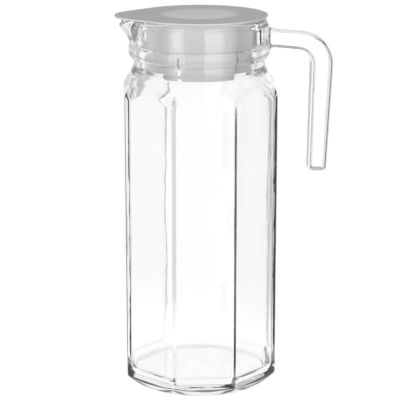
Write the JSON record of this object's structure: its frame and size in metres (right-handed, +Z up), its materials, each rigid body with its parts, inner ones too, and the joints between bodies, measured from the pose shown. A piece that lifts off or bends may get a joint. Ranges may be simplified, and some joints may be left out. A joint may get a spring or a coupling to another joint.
{
  "type": "glass pitcher with lid",
  "caption": "Eight-sided glass pitcher with a round neck, pressed spout and hooked glass handle, closed by a translucent plastic lid that turns and lifts out.",
  "frame": {"origin": "on the jug's upright axis, in the plane of its foot", "axes": "+Z up along the jug's axis, +X towards the handle, -X towards the spout"},
  "size_m": [0.1363, 0.0948, 0.2354],
  "materials": {
    "jug_glass": "clear fire-polished pressed glass",
    "handle_glass": "clear fire-polished glass",
    "cover_plastic": "translucent milky plastic, satin",
    "drum_plastic": "translucent milky plastic, satin",
    "plug_plastic": "translucent milky plastic, satin"
  },
  "bodies": {
    "jug": {"jug_body": "jug_glass", "handle": "handle_glass"},
    "plug": {"grip_plug": "plug_plastic"},
    "lid": {"lid_cover": "cover_plastic", "pour_drum": "drum_plastic"}
  },
  "joints": [
    {"name": "lid_lift", "type": "slide", "parent": "jug", "child": "plug", "axis": [0, 0, 1], "range_m": [0, 0.05]},
    {"name": "lid_turn", "type": "hinge", "parent": "plug", "child": "lid", "pos_m": [0, 0, 0.2353], "axis": [0, 0, 1], "continuous": true}
  ]
}
